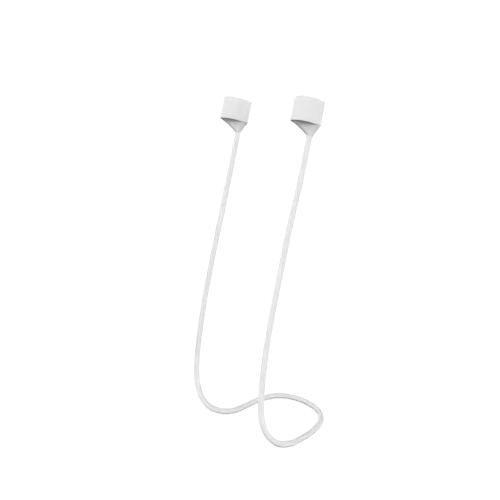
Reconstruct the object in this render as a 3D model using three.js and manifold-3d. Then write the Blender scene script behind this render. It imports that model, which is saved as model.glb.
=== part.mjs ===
// Neck strap for a pair of wireless earbuds: one thin silicone cord with a soft sleeve on each end.
// Each sleeve slips over the stem of an earbud, and a flared neck joins the sleeve to the cord.
//
// Millimetres, +Z up, +X along the left sleeve from its wide side to its neck side.
// The origin is in the middle of the left sleeve's mouth, where an earbud's stem goes in.
// The strap is held up by the two sleeves and its slack lies on a level surface below them.

import * as THREE from "three";
import { mergeVertices } from "three/addons/utils/BufferGeometryUtils.js";
import Module from "manifold-3d";

const wasm = await Module();
wasm.setup();

// Sleeve: its section is an egg, a wide arc and a narrow arc joined by two straight walls.
// Places on it are given from the middle of the wide arc.
const SLEEVE_LENGTH = 10.0;
const SLEEVE_HEIGHT = 7.6;
const WIDE_RADIUS = 4.3;
const NARROW_RADIUS = 2.6;
const WALL = 1.2;
const FLOOR_THICKNESS = 1.0;
const NARROW_X = SLEEVE_LENGTH - WIDE_RADIUS - NARROW_RADIUS;
const SECTION_SIDES = 48;

// Neck: a flare from the sleeve's section down to the cord, set towards the narrow end. Its wide
// side is a fin, pinched to half its thickness at two thirds of the neck's height.
const NECK_LENGTH = 3.6;
const NECK_X = 2.8;
const NECK_RADIUS = 1.1;
const NECK_RINGS = 8;
const FLARE_POWER = 1.12;
const PINCH = 1.3;

// Cord
const CORD_DIAMETER = 2.0;
const CORD_SIDES = 8;
const CORD_STEPS = 80;

// Touching pieces keep this much room, and a cutting tool runs this far past what it cuts.
const GAP = 0.3;
const OVERSHOOT = 1.0;

// Each end: where its neck stands, the height of its sleeve's rim, and its turn about +Z.
const ENDS = [
  { side: "left", neck: [NECK_X, 0], rim: 0, turn: 0 },
  { side: "right", neck: [27, -18.7], rim: 1, turn: THREE.MathUtils.degToRad(6) },
];

// Heights below a sleeve's rim at which its neck ends and the cord begins.
const NECK_DROP = SLEEVE_HEIGHT + NECK_LENGTH;
const [LEFT_TOP, RIGHT_TOP] = ENDS.map((end) => end.rim - NECK_DROP - GAP);

// The level surface under the slack, and the height of the cord's centre where it lies there.
const SURFACE_Z = -110.1;
const LAID = SURFACE_Z + CORD_DIAMETER / 2;

// The cord's centreline, from the left neck down to the surface, round and up to the right neck.
const CORD_ROUTE = [
  [NECK_X, 0, LEFT_TOP],
  [2.8, 0, -22],
  [2.6, 0, -38],
  [2.3, 0, -56],
  [2.3, 0, -72],
  [2.8, 0, -86],
  [3.8, -0.3, -97],
  [5.4, -2, -103.9],
  [7.5, -5, -107.3],
  [9.3, -7.7, -108.4],
  [11.5, -10.5, -109],
  [14.1, -12.2, LAID],
  [17.1, -12.6, LAID],
  [19.9, -11.1, LAID],
  [22.3, -8.4, LAID],
  [24.9, -4.2, LAID],
  [28.3, 1.4, LAID],
  [32.3, 7, LAID],
  [37.1, 11.4, LAID],
  [42.1, 13.2, LAID],
  [47.1, 12.2, LAID],
  [51.3, 8.8, LAID],
  [53.8, 3.6, LAID],
  [53.7, -2.8, LAID],
  [51.5, -9.6, LAID],
  [48.1, -16.2, LAID],
  [44.3, -22, LAID],
  [40.4, -26.8, LAID],
  [36.4, -28.9, -108.9],
  [32.9, -28.9, -107.2],
  [30.5, -28.4, -104.3],
  [29, -27.2, -100.1],
  [27.7, -25.6, -91.9],
  [26.9, -23.7, -81.3],
  [26.6, -21.8, -69.4],
  [26.6, -20.1, -55.1],
  [26.6, -19.1, -40.4],
  [27, -18.7, -25.6],
  [27, -18.7, RIGHT_TOP],
];

// Soft white silicone, one material for each piece.
function silicone(color, roughness) {
  return new THREE.MeshStandardMaterial({ color, roughness, metalness: 0 });
}

// A point, for an outward direction, of the outline round two circles on the section's long axis.
function eggPoint(angle, wideX, wideRadius, narrowX, narrowRadius) {
  const spacing = Math.max(narrowX - wideX, 1e-6);
  const onNarrow = Math.cos(angle) > (wideRadius - narrowRadius) / spacing;
  const radius = onNarrow ? narrowRadius : wideRadius;
  const centre = onNarrow ? narrowX : wideX;
  return new THREE.Vector2(centre + radius * Math.cos(angle), radius * Math.sin(angle));
}

// A point of the neck's section at a height between its foot, 0, and the sleeve, 1.
function neckPoint(angle, height) {
  const { lerp } = THREE.MathUtils;
  const flare = 1 - Math.pow(1 - Math.pow(height, FLARE_POWER), 1 / FLARE_POWER);
  const pinch = 1 - PINCH * Math.sqrt(1 - height) * height;
  const finRadius = lerp(NECK_RADIUS, WIDE_RADIUS, flare) * pinch;
  const finX = lerp(NECK_X - NECK_RADIUS, -WIDE_RADIUS, flare) + finRadius;
  const narrowX = lerp(NECK_X, NARROW_X, flare);
  return eggPoint(angle, finX, finRadius, narrowX, lerp(NECK_RADIUS, NARROW_RADIUS, flare));
}

// An upright prism of the sleeve's section, moved in by an inset, between two heights.
function eggPrism(inset, bottom, top) {
  const outline = [];
  for (let side = 0; side < SECTION_SIDES; side += 1) {
    const angle = (2 * Math.PI * (side + 0.5)) / SECTION_SIDES;
    outline.push(eggPoint(angle, 0, WIDE_RADIUS - inset, NARROW_X, NARROW_RADIUS - inset));
  }
  const prism = new THREE.ExtrudeGeometry(new THREE.Shape(outline), {
    depth: top - bottom,
    bevelEnabled: false,
  });
  return prism.translate(0, 0, bottom);
}

// A closed geometry as a solid that can be cut.
function toSolid(geometry) {
  const plain = geometry.clone();
  plain.deleteAttribute("normal");
  plain.deleteAttribute("uv");
  const merged = mergeVertices(plain, 1e-4);
  const vertProperties = new Float32Array(merged.attributes.position.array);
  const triVerts = new Uint32Array(merged.index.array);
  return new wasm.Manifold(new wasm.Mesh({ numProp: 3, vertProperties, triVerts }));
}

// A cut solid as a geometry again.
function toGeometry(solid) {
  const mesh = solid.getMesh();
  const geometry = new THREE.BufferGeometry();
  geometry.setAttribute("position", new THREE.BufferAttribute(mesh.vertProperties, mesh.numProp));
  geometry.setIndex(new THREE.BufferAttribute(mesh.triVerts, 1));
  geometry.computeVertexNormals();
  return geometry;
}

// The sleeve is a cup: egg walls and a thin floor.
function sleeveGeometry() {
  const outside = toSolid(eggPrism(0, -SLEEVE_HEIGHT, 0));
  const pocket = toSolid(eggPrism(WALL, FLOOR_THICKNESS - SLEEVE_HEIGHT, OVERSHOOT));
  return toGeometry(outside.subtract(pocket));
}

// The neck is a cylinder whose rings are reshaped from the cord's circle to the sleeve's section.
function neckGeometry() {
  const flared = new THREE.CylinderGeometry(1, 1, 1, SECTION_SIDES, NECK_RINGS);
  flared.rotateX(Math.PI / 2);
  const position = flared.attributes.position;
  const reach = (NECK_LENGTH - GAP) / NECK_LENGTH;
  for (let i = 0; i < position.count; i += 1) {
    const height = (position.getZ(i) + 0.5) * reach;
    const angle = Math.atan2(position.getY(i), position.getX(i));
    const spread = Math.hypot(position.getX(i), position.getY(i));
    const edge = neckPoint(angle, height);
    const x = THREE.MathUtils.lerp(NECK_X, edge.x, spread);
    position.setXYZ(i, x, edge.y * spread, (height - 1) * NECK_LENGTH - SLEEVE_HEIGHT);
  }
  return flared;
}

// The cord is a plain tube along its route.
function cordGeometry() {
  const route = new THREE.CatmullRomCurve3(CORD_ROUTE.map((point) => new THREE.Vector3(...point)));
  const corners = [];
  for (let side = 0; side < CORD_SIDES; side += 1) {
    const angle = (2 * Math.PI * (side + 0.5)) / CORD_SIDES;
    corners.push(new THREE.Vector2(Math.cos(angle), Math.sin(angle)).multiplyScalar(CORD_DIAMETER / 2));
  }
  return new THREE.ExtrudeGeometry(new THREE.Shape(corners), {
    steps: CORD_STEPS,
    extrudePath: route,
    bevelEnabled: false,
  });
}

function namedMesh(name, geometry, material) {
  const mesh = new THREE.Mesh(geometry, material);
  mesh.name = name;
  return mesh;
}

// One end of the strap: its sleeve and neck, turned about the cord's upright line.
function strapEnd(end) {
  const group = new THREE.Group();
  const offset = new THREE.Vector2(-NECK_X, 0).rotateAround(new THREE.Vector2(), end.turn);
  group.position.set(end.neck[0] + offset.x, end.neck[1] + offset.y, end.rim);
  group.rotation.z = end.turn;
  group.add(namedMesh(`${end.side}_sleeve`, sleeveGeometry(), silicone(0xe8e8e6, 0.55)));
  group.add(namedMesh(`${end.side}_neck`, neckGeometry(), silicone(0xe4e4e2, 0.55)));
  return group;
}

const strap = new THREE.Group();
ENDS.forEach((end) => strap.add(strapEnd(end)));
strap.add(namedMesh("cord", cordGeometry(), silicone(0xe6e6e4, 0.5)));

export default strap;
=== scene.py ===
import math

import bpy
from mathutils import Matrix, Vector


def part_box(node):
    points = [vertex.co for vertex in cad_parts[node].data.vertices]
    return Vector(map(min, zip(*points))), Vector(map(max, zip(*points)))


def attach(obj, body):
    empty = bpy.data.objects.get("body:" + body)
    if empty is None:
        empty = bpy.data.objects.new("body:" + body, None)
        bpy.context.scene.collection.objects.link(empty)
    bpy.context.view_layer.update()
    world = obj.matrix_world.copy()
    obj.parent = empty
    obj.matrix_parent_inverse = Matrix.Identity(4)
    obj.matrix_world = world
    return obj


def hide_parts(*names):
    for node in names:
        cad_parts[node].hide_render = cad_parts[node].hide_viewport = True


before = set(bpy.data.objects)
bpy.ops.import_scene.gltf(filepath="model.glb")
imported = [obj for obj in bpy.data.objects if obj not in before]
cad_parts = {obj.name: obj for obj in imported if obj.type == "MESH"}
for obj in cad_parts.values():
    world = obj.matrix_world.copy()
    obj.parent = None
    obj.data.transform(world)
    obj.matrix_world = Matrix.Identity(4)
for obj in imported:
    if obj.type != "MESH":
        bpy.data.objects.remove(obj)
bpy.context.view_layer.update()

MM = 0.001

# Sleeve: its section is an egg, a wide arc and a narrow arc joined by two straight walls.
# Places on an end are given from the middle of its wide arc, at the height of its rim.
SLEEVE_LENGTH = 10.0 * MM
SLEEVE_HEIGHT = 7.6 * MM
WIDE_RADIUS = 4.3 * MM
NARROW_RADIUS = 2.6 * MM
NARROW_X = SLEEVE_LENGTH - WIDE_RADIUS - NARROW_RADIUS
WALL = 1.2 * MM
FLOOR_THICKNESS = 1.0 * MM

# Neck: a flare from the sleeve's section down to the cord, set towards the narrow end. Its wide
# side is a fin, pinched to half its thickness at two thirds of the neck's height.
NECK_X = 2.8 * MM
NECK_LENGTH = 3.6 * MM
NECK_RADIUS = 1.1 * MM
FLARE_POWER = 1.12
PINCH = 1.3

# Cord: its top ends are the highest points of its two legs, and LAID is the height of its centre
# where it lies on the surface.
CORD_RADIUS = 1.0 * MM
LEFT_TOP = -11.5 * MM
RIGHT_TOP = -10.5 * MM
LAID = -109.1 * MM
SURFACE_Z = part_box("cord")[0].z

# The cord's centreline, from the left neck down to the surface, round and up to the right neck.
CORD_ROUTE = [
    (NECK_X, 0, LEFT_TOP),
    (0.0028, 0, -0.0220),
    (0.0026, 0, -0.0380),
    (0.0023, 0, -0.0560),
    (0.0023, 0, -0.0720),
    (0.0028, 0, -0.0860),
    (0.0038, -0.0003, -0.0970),
    (0.0054, -0.0020, -0.1039),
    (0.0075, -0.0050, -0.1073),
    (0.0093, -0.0077, -0.1084),
    (0.0115, -0.0105, -0.1090),
    (0.0141, -0.0122, LAID),
    (0.0171, -0.0126, LAID),
    (0.0199, -0.0111, LAID),
    (0.0223, -0.0084, LAID),
    (0.0249, -0.0042, LAID),
    (0.0283, 0.0014, LAID),
    (0.0323, 0.0070, LAID),
    (0.0371, 0.0114, LAID),
    (0.0421, 0.0132, LAID),
    (0.0471, 0.0122, LAID),
    (0.0513, 0.0088, LAID),
    (0.0538, 0.0036, LAID),
    (0.0537, -0.0028, LAID),
    (0.0515, -0.0096, LAID),
    (0.0481, -0.0162, LAID),
    (0.0443, -0.0220, LAID),
    (0.0404, -0.0268, LAID),
    (0.0364, -0.0289, -0.1089),
    (0.0329, -0.0289, -0.1072),
    (0.0305, -0.0284, -0.1043),
    (0.0290, -0.0272, -0.1001),
    (0.0277, -0.0256, -0.0919),
    (0.0269, -0.0237, -0.0813),
    (0.0266, -0.0218, -0.0694),
    (0.0266, -0.0201, -0.0551),
    (0.0266, -0.0191, -0.0404),
    (0.0270, -0.0187, -0.0256),
    (0.0270, -0.0187, RIGHT_TOP),
]

# Each end stands with its neck over the cord's end, turned about +Z.
ENDS = {
    "left": {"neck": CORD_ROUTE[0], "turn": math.radians(0)},
    "right": {"neck": CORD_ROUTE[-1], "turn": math.radians(6)},
}


# ---------------------------------------------------------------- camera

CAMERA_PLACE = (0.0153, -0.183, -0.0329)
CAMERA_PITCH = math.radians(-6.0)
CAMERA_ROLL = math.radians(11.2)
LENS_MM = 36.0
SENSOR_MM = 36.0


def make_camera():
    """A close view from low down, a little rolled, with a 36 mm lens on a 36 mm sensor."""
    forward = Vector((0, math.cos(CAMERA_PITCH), math.sin(CAMERA_PITCH)))
    level_right = Vector((1, 0, 0))
    level_up = level_right.cross(forward)
    right = level_right * math.cos(CAMERA_ROLL) + level_up * math.sin(CAMERA_ROLL)
    up = level_up * math.cos(CAMERA_ROLL) - level_right * math.sin(CAMERA_ROLL)
    data = bpy.data.cameras.new("camera")
    data.lens = LENS_MM
    data.sensor_width = SENSOR_MM
    data.clip_start = 0.002
    data.clip_end = 20.0
    camera = bpy.data.objects.new("camera", data)
    bpy.context.scene.collection.objects.link(camera)
    axes = Matrix((right, up, -forward)).transposed().to_4x4()
    camera.matrix_world = Matrix.Translation(CAMERA_PLACE) @ axes
    bpy.context.scene.camera = camera


# ---------------------------------------------------------------- mesh helpers

def mesh_object(name, points, faces, material):
    mesh = bpy.data.meshes.new(name)
    mesh.from_pydata([tuple(p) for p in points], [], faces)
    mesh.validate()
    mesh.shade_smooth()
    mesh.materials.append(material)
    made = bpy.data.objects.new(name, mesh)
    bpy.context.scene.collection.objects.link(made)
    return made


def skin(rings):
    """Points and quads through rings of equal length, with a flat face to shut each end."""
    sides = len(rings[0])
    points = [p for ring in rings for p in ring]
    faces = [tuple(reversed(range(sides)))]
    for row in range(len(rings) - 1):
        here = row * sides
        there = here + sides
        for side in range(sides):
            after = (side + 1) % sides
            faces.append((here + side, here + after, there + after, there + side))
    faces.append(tuple(range(len(points) - sides, len(points))))
    return points, faces


def lerp(a, b, t):
    return a + (b - a) * t


def evenly(line, step):
    """A line again, with points the same distance apart, and its length."""
    along = [0.0]
    for a, b in zip(line, line[1:]):
        along.append(along[-1] + (b - a).length)
    count = round(along[-1] / step)
    even = []
    at = 0
    for i in range(count + 1):
        want = along[-1] * i / count
        while at < len(along) - 2 and along[at + 1] < want:
            at += 1
        share = (want - along[at]) / (along[at + 1] - along[at])
        even.append(line[at].lerp(line[at + 1], min(share, 1.0)))
    return even, along[-1]


# ---------------------------------------------------------------- cord

CORD_SIDES = 32
CORD_STEP = 0.5 * MM
CORD_TUCK = 0.6 * MM
CORD_FLASH = 0.012 * MM
CORD_FULLNESS = 0.992
CORD_UNEVENNESS = 0.004
SPAN_STEPS = 24


def catmull_rom(points):
    """A centripetal Catmull-Rom curve through the points."""
    ends = [points[0] * 2 - points[1]] + points + [points[-1] * 2 - points[-2]]
    line = []
    for p0, p1, p2, p3 in zip(ends, ends[1:], ends[2:], ends[3:]):
        d0, d1, d2 = (math.sqrt((b - a).length) for a, b in ((p0, p1), (p1, p2), (p2, p3)))
        out_of = ((p1 - p0) / d0 - (p2 - p0) / (d0 + d1) + (p2 - p1) / d1) * d1
        into = ((p2 - p1) / d1 - (p3 - p1) / (d1 + d2) + (p3 - p2) / d2) * d1
        cubic = (p1 - p2) * 2 + out_of + into
        square = (p2 - p1) * 3 - out_of * 2 - into
        for step in range(SPAN_STEPS):
            t = step / SPAN_STEPS
            line.append(p1 + out_of * t + square * t * t + cubic * t * t * t)
    line.append(points[-1].copy())
    return line


def cord_radius(row, side):
    """Moulded silicone is never quite even, and a faint flash line runs along each side of it."""
    uneven = CORD_UNEVENNESS * (math.sin(row * 0.061) + math.sin(row * 0.023 + 1.3))
    flash = CORD_FLASH if side % (CORD_SIDES // 2) == 0 else 0.0
    return CORD_RADIUS * (CORD_FULLNESS + uneven) + flash


def cord_rings(line):
    """Rings round the cord's line, carried along it without twist."""
    rings = []
    across = Vector((1, 0, 0))
    for row, point in enumerate(line):
        ahead = line[min(row + 1, len(line) - 1)] - line[max(row - 1, 0)]
        ahead.normalize()
        across = (across - ahead * across.dot(ahead)).normalized()
        other = ahead.cross(across)
        ring = []
        for side in range(CORD_SIDES):
            angle = 2 * math.pi * side / CORD_SIDES
            outward = across * math.cos(angle) + other * math.sin(angle)
            ring.append(point + outward * cord_radius(row, side))
        rings.append(ring)
    return rings


def make_cord(material):
    """The cord, with both ends tucked up into the necks."""
    route = [Vector(p) for p in CORD_ROUTE]
    tuck = Vector((0, 0, CORD_TUCK))
    line, length = evenly(catmull_rom([route[0] + tuck] + route + [route[-1] + tuck]), CORD_STEP)
    cord = mesh_object("strap_cord", *skin(cord_rings(line)), material)
    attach(cord, "root")
    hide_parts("cord")


# ---------------------------------------------------------------- sleeves

SECTION_SIDES = 120
FINE_SIDES = 2400
LEAST_SPACING = 0.001 * MM
ROUND_STEPS = 6
FOOT_STEPS = 5
WALL_STEPS = 4
SEAM_HEIGHT = 0.03 * MM
POCKET_ROUND = 0.6 * MM
RIM_ROUND = 0.22 * MM
FOOT_ROUND = 0.12 * MM


def egg(wide_x, wide_radius, narrow_x, narrow_radius):
    """The outline round two circles on the section's long axis, evenly divided from its narrow
    end, and the outward direction at each point."""
    limit = (wide_radius - narrow_radius) / max(narrow_x - wide_x, LEAST_SPACING)
    fine = []
    for i in range(FINE_SIDES + 1):
        angle = 2 * math.pi * i / FINE_SIDES
        narrow = math.cos(angle) > limit
        radius = narrow_radius if narrow else wide_radius
        centre = narrow_x if narrow else wide_x
        fine.append(Vector((centre + radius * math.cos(angle), radius * math.sin(angle))))
    length = sum((b - a).length for a, b in zip(fine, fine[1:]))
    points = evenly(fine, length / SECTION_SIDES)[0][:-1]
    outward = []
    for i in range(SECTION_SIDES):
        along = points[(i + 1) % SECTION_SIDES] - points[i - 1]
        outward.append(Vector((along.y, -along.x)).normalized())
    return points, outward


def inset_ring(outline, inset, z, seam=0.0):
    """A ring inset from an outline, with a moulding seam down its two ends."""
    ring = []
    for i, (point, outward) in enumerate(zip(*outline)):
        proud = seam if i % (SECTION_SIDES // 2) == 0 else 0.0
        moved = point - outward * (inset - proud)
        ring.append(Vector((moved.x, moved.y, z)))
    return ring


def ramp_rings(a, b):
    """The rings between two rings, without those two."""
    return [[p.lerp(q, i / WALL_STEPS) for p, q in zip(a, b)] for i in range(1, WALL_STEPS)]


def quarter(steps):
    """(sine, cosine) pairs through a quarter turn, ends included."""
    turns = [math.pi / 2 * i / steps for i in range(steps + 1)]
    return [(math.sin(turn), math.cos(turn)) for turn in turns]


def sleeve_rings():
    """The sleeve's skin from the middle of its floor: pocket, rim, outer wall and underside."""
    outside = egg(0.0, WIDE_RADIUS, NARROW_X, NARROW_RADIUS)
    bottom = -SLEEVE_HEIGHT
    floor = bottom + FLOOR_THICKNESS
    pocket = [inset_ring(outside, WALL + POCKET_ROUND * (1 - s), floor + POCKET_ROUND * (1 - c))
              for s, c in quarter(ROUND_STEPS)]
    mouth = [inset_ring(outside, WALL - RIM_ROUND * (1 - c), -RIM_ROUND * (1 - s))
             for s, c in quarter(ROUND_STEPS)]
    rim = [inset_ring(outside, RIM_ROUND * (1 - s), -RIM_ROUND * (1 - c), SEAM_HEIGHT * s)
           for s, c in quarter(ROUND_STEPS)]
    foot = [inset_ring(outside, FOOT_ROUND * (1 - c), bottom + FOOT_ROUND * (1 - s), SEAM_HEIGHT * c)
            for s, c in quarter(FOOT_STEPS)]
    rings = pocket + ramp_rings(pocket[-1], mouth[0])
    return rings + mouth + rim + ramp_rings(rim[-1], foot[0]) + foot


# ---------------------------------------------------------------- necks

NECK_ROWS = 30
NECK_INSET = 0.05 * MM
ROWS_TOWARDS_TOP = 2.2
COLLAR = 0.12 * MM
COLLAR_STEPS = 4
NECK_TUCK = 0.05 * MM


def neck_ring(height, z, shrink):
    """A ring of the neck's section at a height between its foot, 0, and the sleeve, 1."""
    flare = 1 - (1 - height ** FLARE_POWER) ** (1 / FLARE_POWER)
    pinch = 1 - PINCH * math.sqrt(1 - height) * height
    fin_radius = lerp(NECK_RADIUS, WIDE_RADIUS, flare) * pinch
    fin_x = lerp(NECK_X - NECK_RADIUS, -WIDE_RADIUS, flare) + fin_radius
    narrow_radius = lerp(NECK_RADIUS, NARROW_RADIUS, flare)
    outline = egg(fin_x, fin_radius, lerp(NECK_X, NARROW_X, flare), narrow_radius)
    return inset_ring(outline, shrink, z)


def neck_rings():
    """The neck's skin, from just inside the sleeve's floor down to a rounded collar on the cord."""
    top = -SLEEVE_HEIGHT
    foot = top - NECK_LENGTH
    rings = [neck_ring(1.0, top + NECK_TUCK, NECK_INSET)]
    for row in range(NECK_ROWS + 1):
        height = 1 - (row / NECK_ROWS) ** ROWS_TOWARDS_TOP
        rings.append(neck_ring(height, lerp(foot, top, height), NECK_INSET * height))
    for sine, cosine in quarter(COLLAR_STEPS)[1:]:
        rings.append(neck_ring(0.0, foot - COLLAR * sine, COLLAR * (1 - cosine)))
    return rings


def make_end(side, sleeve_material, neck_material):
    """One end of the strap: its sleeve and neck, put over the cord's end."""
    x, y, _ = ENDS[side]["neck"]
    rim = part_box(f"{side}_sleeve")[1].z
    turn = Matrix.Rotation(ENDS[side]["turn"], 4, "Z")
    place = Matrix.Translation((x, y, rim)) @ turn @ Matrix.Translation((-NECK_X, 0, 0))
    sleeve = mesh_object(f"{side}_cup_sleeve", *skin(sleeve_rings()[::-1]), sleeve_material)
    neck = mesh_object(f"{side}_flared_neck", *skin(neck_rings()[::-1]), neck_material)
    for piece, node, slot in ((sleeve, f"{side}_sleeve", "sleeve_silicone"),
                              (neck, f"{side}_neck", "neck_silicone")):
        piece.data.transform(place)
        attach(piece, "root")
        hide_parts(node)


# ---------------------------------------------------------------- materials

# For each kind of piece: how light it is, its roughness and the strength of its grain.
CORD_LOOK = (0.88, 0.55, 0.25)
SLEEVE_LOOK = (0.865, 0.55, 0.4)
NECK_LOOK = (0.86, 0.55, 0.35)
CLOUD_SCALE = 260
CLOUD_SHADE = 0.985
ROUGHNESS_SPREAD = 0.05
GRAIN_SCALE = 5200
GRAIN_DEPTH = 0.02 * MM


def silicone(name, tone, roughness, grain):
    """Soft white silicone: matte, a little translucent, with a fine moulded grain."""
    material = bpy.data.materials.new(name)
    material.use_nodes = True
    nodes = material.node_tree.nodes
    links = material.node_tree.links
    shader = nodes["Principled BSDF"]
    shader.inputs["IOR"].default_value = 1.41
    shader.inputs["Specular IOR Level"].default_value = 0.15
    shader.inputs["Subsurface Weight"].default_value = 0.2
    shader.inputs["Subsurface Radius"].default_value = (1.0, 0.97, 0.94)
    shader.inputs["Subsurface Scale"].default_value = 0.6 * MM

    place = nodes.new("ShaderNodeTexCoord")
    cloud = nodes.new("ShaderNodeTexNoise")
    cloud.inputs["Scale"].default_value = CLOUD_SCALE
    cloud.inputs["Detail"].default_value = 3
    links.new(place.outputs["Object"], cloud.inputs["Vector"])

    colour = nodes.new("ShaderNodeValToRGB")
    shades = (CLOUD_SHADE * tone, tone)
    for element, position, shade in zip(colour.color_ramp.elements, (0.3, 0.7), shades):
        element.position = position
        element.color = (shade, shade, shade, 1)
    links.new(cloud.outputs["Fac"], colour.inputs["Fac"])
    links.new(colour.outputs["Color"], shader.inputs["Base Color"])

    rough = nodes.new("ShaderNodeMapRange")
    rough.inputs["To Min"].default_value = roughness - ROUGHNESS_SPREAD
    rough.inputs["To Max"].default_value = roughness + ROUGHNESS_SPREAD
    links.new(cloud.outputs["Fac"], rough.inputs["Value"])
    links.new(rough.outputs["Result"], shader.inputs["Roughness"])

    fine = nodes.new("ShaderNodeTexNoise")
    fine.inputs["Scale"].default_value = GRAIN_SCALE
    fine.inputs["Detail"].default_value = 4
    links.new(place.outputs["Object"], fine.inputs["Vector"])
    bump = nodes.new("ShaderNodeBump")
    bump.inputs["Strength"].default_value = grain
    bump.inputs["Distance"].default_value = GRAIN_DEPTH
    links.new(fine.outputs["Fac"], bump.inputs["Height"])
    links.new(bump.outputs["Normal"], shader.inputs["Normal"])
    return material


# ---------------------------------------------------------------- stage

FLOOR_HALF = 3.0
FLOOR_SEEN = 1.25
FLOOR_CATCH = 0.25
FLOOR_BOUNCE = 0.14
HORIZON_LIGHT = 3.1
ZENITH_LIGHT = 0.05
LIGHT_REACH = 0.8
BACKDROP_SEEN = 1.1
SOFTBOX_PLACE = (-0.14, -0.34, 0.04)
SOFTBOX_AIM = (0.013, -0.014, -0.05)
SOFTBOX_SIZE = 0.25
SOFTBOX_POWER = 0.12


def make_floor():
    """A pale seamless floor. It looks white to the camera, and throws little light back up."""
    material = bpy.data.materials.new("pale_floor")
    material.use_nodes = True
    nodes = material.node_tree.nodes
    links = material.node_tree.links
    nodes.clear()
    output = nodes.new("ShaderNodeOutputMaterial")
    glow = nodes.new("ShaderNodeEmission")
    glow.inputs["Strength"].default_value = FLOOR_SEEN
    paint = nodes.new("ShaderNodeBsdfDiffuse")
    paint.inputs["Color"].default_value = (0.9, 0.9, 0.9, 1)
    seen = nodes.new("ShaderNodeMixShader")
    seen.inputs["Fac"].default_value = FLOOR_CATCH
    links.new(glow.outputs["Emission"], seen.inputs[1])
    links.new(paint.outputs["BSDF"], seen.inputs[2])
    bounce = nodes.new("ShaderNodeBsdfDiffuse")
    bounce.inputs["Color"].default_value = (FLOOR_BOUNCE, FLOOR_BOUNCE, FLOOR_BOUNCE, 1)
    ray = nodes.new("ShaderNodeLightPath")
    either = nodes.new("ShaderNodeMixShader")
    links.new(ray.outputs["Is Camera Ray"], either.inputs["Fac"])
    links.new(bounce.outputs["BSDF"], either.inputs[1])
    links.new(seen.outputs["Shader"], either.inputs[2])
    links.new(either.outputs["Shader"], output.inputs["Surface"])

    corners = [(-FLOOR_HALF, -FLOOR_HALF), (FLOOR_HALF, -FLOOR_HALF),
               (FLOOR_HALF, FLOOR_HALF), (-FLOOR_HALF, FLOOR_HALF)]
    points = [(x, y, SURFACE_Z) for x, y in corners]
    mesh_object("floor", points, [(0, 1, 2, 3)], material)


def make_world():
    """A white backdrop to the camera. Its light is strongest level with the object."""
    world = bpy.data.worlds.new("studio")
    world.use_nodes = True
    nodes = world.node_tree.nodes
    links = world.node_tree.links
    nodes.clear()
    output = nodes.new("ShaderNodeOutputWorld")
    place = nodes.new("ShaderNodeTexCoord")
    split = nodes.new("ShaderNodeSeparateXYZ")
    links.new(place.outputs["Generated"], split.inputs["Vector"])
    fade = nodes.new("ShaderNodeMapRange")
    fade.inputs["From Max"].default_value = LIGHT_REACH
    fade.inputs["To Min"].default_value = HORIZON_LIGHT
    fade.inputs["To Max"].default_value = ZENITH_LIGHT
    links.new(split.outputs["Z"], fade.inputs["Value"])
    dome = nodes.new("ShaderNodeBackground")
    dome.inputs["Color"].default_value = (1, 1, 1, 1)
    links.new(fade.outputs["Result"], dome.inputs["Strength"])
    backdrop = nodes.new("ShaderNodeBackground")
    backdrop.inputs["Color"].default_value = (1, 1, 1, 1)
    backdrop.inputs["Strength"].default_value = BACKDROP_SEEN
    ray = nodes.new("ShaderNodeLightPath")
    either = nodes.new("ShaderNodeMixShader")
    links.new(ray.outputs["Is Camera Ray"], either.inputs["Fac"])
    links.new(dome.outputs["Background"], either.inputs[1])
    links.new(backdrop.outputs["Background"], either.inputs[2])
    links.new(either.outputs["Shader"], output.inputs["Surface"])
    bpy.context.scene.world = world


def make_softbox():
    """A weak square area light that faces the middle of the strap."""
    data = bpy.data.lights.new("key_softbox", "AREA")
    data.shape = "SQUARE"
    data.size = SOFTBOX_SIZE
    data.energy = SOFTBOX_POWER
    lamp = bpy.data.objects.new("key_softbox", data)
    bpy.context.scene.collection.objects.link(lamp)
    lamp.location = SOFTBOX_PLACE
    aim = Vector(SOFTBOX_AIM) - Vector(SOFTBOX_PLACE)
    lamp.rotation_euler = aim.to_track_quat("-Z", "Y").to_euler()


def make_stage():
    make_floor()
    make_world()
    make_softbox()
    bpy.context.scene.view_settings.view_transform = "Standard"


# ---------------------------------------------------------------- the strap

make_camera()
make_cord(silicone("cord_silicone", *CORD_LOOK))
for side in ENDS:
    make_end(side, silicone(f"{side}_sleeve_silicone", *SLEEVE_LOOK),
             silicone(f"{side}_neck_silicone", *NECK_LOOK))
make_stage()
